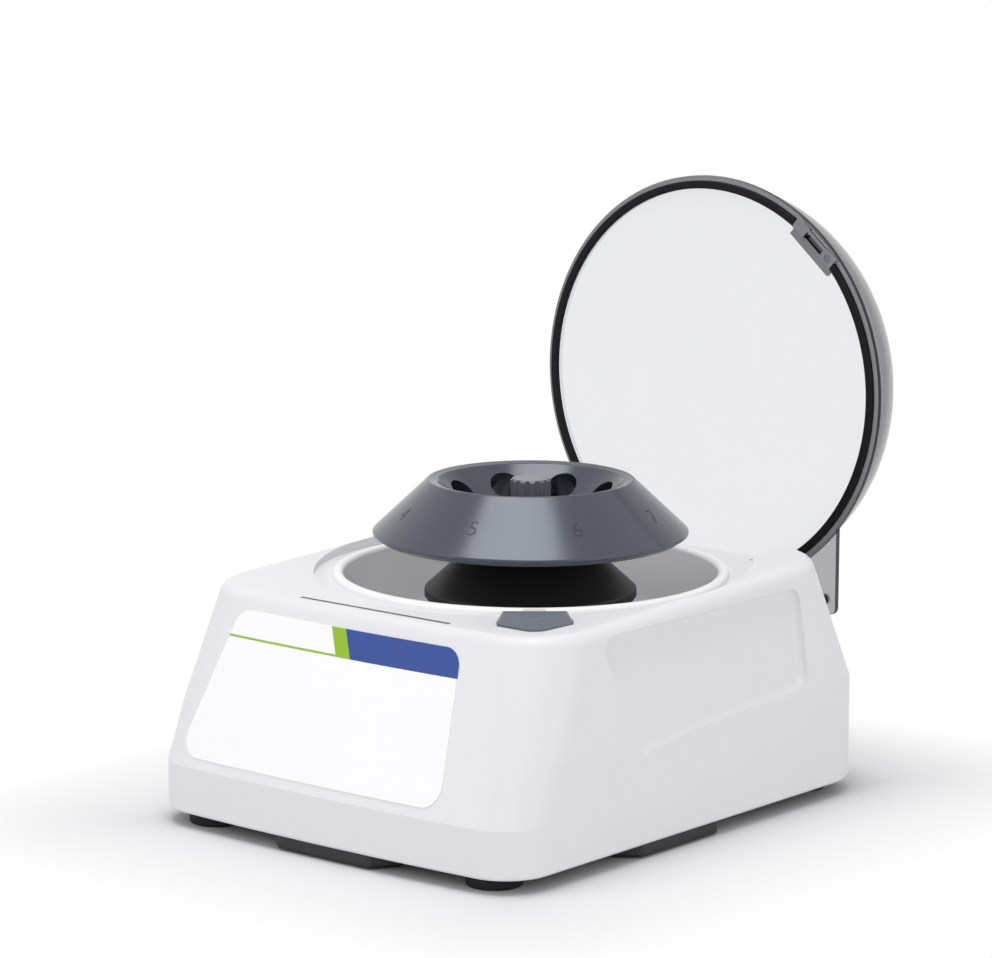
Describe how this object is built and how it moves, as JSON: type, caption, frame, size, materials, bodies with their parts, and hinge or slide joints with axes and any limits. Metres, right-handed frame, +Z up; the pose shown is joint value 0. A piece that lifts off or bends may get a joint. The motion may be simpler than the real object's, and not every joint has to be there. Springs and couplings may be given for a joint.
{
  "type": "mini centrifuge",
  "caption": "Bench mini centrifuge: sloped white casing, clear domed lid standing open on a rear hinge, angled rotor over a motor, latch with a release button.",
  "frame": {"origin": "on the surface it stands on, under the middle of the object's width and of its depth with the lid open; the rotor's axis is 17.025 mm in front of it", "axes": "+Z up along the rotor's axis, +X to the object's right seen from its front panel, -Y towards the user"},
  "size_m": [0.1672, 0.2575, 0.2148],
  "materials": {
    "housing_white": "satin moulded plastic",
    "panel_print": "printed film, white with a green line and a blue band",
    "bowl_white": "smooth moulded plastic",
    "cover_black": "smooth black plastic",
    "rotor_grey": "satin grey plastic",
    "lid_clear": "clear moulded plastic",
    "seal_black": "soft black rubber",
    "catch_grey": "dark grey plastic",
    "button_grey": "satin grey plastic",
    "foot_black": "black rubber",
    "tray_black": "black plastic",
    "arm_dark": "dark smoky plastic",
    "slide_plastic": "slippery moulded plastic",
    "screw_steel": "zinc plated",
    "bright_steel": "ground",
    "motor_steel": "plated steel can",
    "cap_plastic": "moulded end cap",
    "magnet_ferrite": "sintered ferrite",
    "armature_copper": "laminated core with copper windings",
    "hub_aluminium": "turned",
    "board_green": "solder mask",
    "parts_black": "electronic parts",
    "fitting_black": "black plastic"
  },
  "bodies": {
    "base": {"housing_top": "housing_white", "front_panel": "panel_print", "rotor_bowl": "bowl_white", "motor_cover": "cover_black", "foot_front_left": "foot_black", "foot_front_right": "foot_black", "foot_rear_left": "foot_black", "foot_rear_right": "foot_black", "base_tray": "tray_black", "hinge_pins": "bright_steel", "latch_cover": "slide_plastic", "latch_screws": "screw_steel", "latch_spring": "bright_steel", "button_spring": "bright_steel", "lid_sensor": "parts_black", "motor_can": "motor_steel", "motor_end_cap": "cap_plastic", "motor_magnets": "magnet_ferrite", "motor_bearings": "bright_steel", "motor_dampers": "seal_black", "motor_screws": "screw_steel", "bowl_screws": "screw_steel", "control_board": "board_green", "board_parts": "parts_black", "board_screws": "screw_steel", "power_inlet": "fitting_black", "power_switch_frame": "fitting_black", "base_screws": "screw_steel", "foot_screws": "screw_steel"},
    "lid": {"lid_dome": "lid_clear", "lid_seal": "seal_black", "lid_catch": "catch_grey", "lid_magnet": "bright_steel", "lid_arm_left": "arm_dark", "lid_arm_right": "arm_dark", "lid_arm_screws": "screw_steel"},
    "rotor_set": {"rotor": "rotor_grey", "rotor_hub": "hub_aluminium", "motor_shaft": "bright_steel", "motor_armature": "armature_copper"},
    "knob": {"rotor_knob": "rotor_grey"},
    "button": {"release_button": "button_grey"},
    "hook": {"latch_hook": "slide_plastic"},
    "rocker": {"power_switch_rocker": "fitting_black"}
  },
  "joints": [
    {"name": "lid_hinge", "type": "hinge", "parent": "base", "child": "lid", "pos_m": [0, 0.06198, 0.0596], "axis": [1, 0, 0], "range_deg": [0, 90.5]},
    {"name": "rotor_spin", "type": "hinge", "parent": "base", "child": "rotor_set", "pos_m": [0, -0.01702, 0.1], "axis": [0, 0, 1], "continuous": true},
    {"name": "knob_turn", "type": "hinge", "parent": "rotor_set", "child": "knob", "pos_m": [0, -0.01702, 0.11], "axis": [0, 0, 1], "continuous": true},
    {"name": "button_press", "type": "slide", "parent": "base", "child": "button", "axis": [0, 0, -1], "range_m": [0, 0.002], "stiffness_N_per_m": 900, "springref_m": -0.001, "deforming": ["button_spring"]},
    {"name": "hook_slide", "type": "slide", "parent": "base", "child": "hook", "axis": [-0.6508, 0.7593, 0], "range_m": [0, 0.0016], "stiffness_N_per_m": 400, "springref_m": -0.001, "deforming": ["latch_spring"]},
    {"name": "switch_rock", "type": "hinge", "parent": "base", "child": "rocker", "pos_m": [-0.032, 0.07608, 0.026], "axis": [1, 0, 0], "range_deg": [0, 18]}
  ],
  "couplings": [
    {"joint": "hook_slide", "follows": "button_press", "ratio": 0.8}
  ]
}
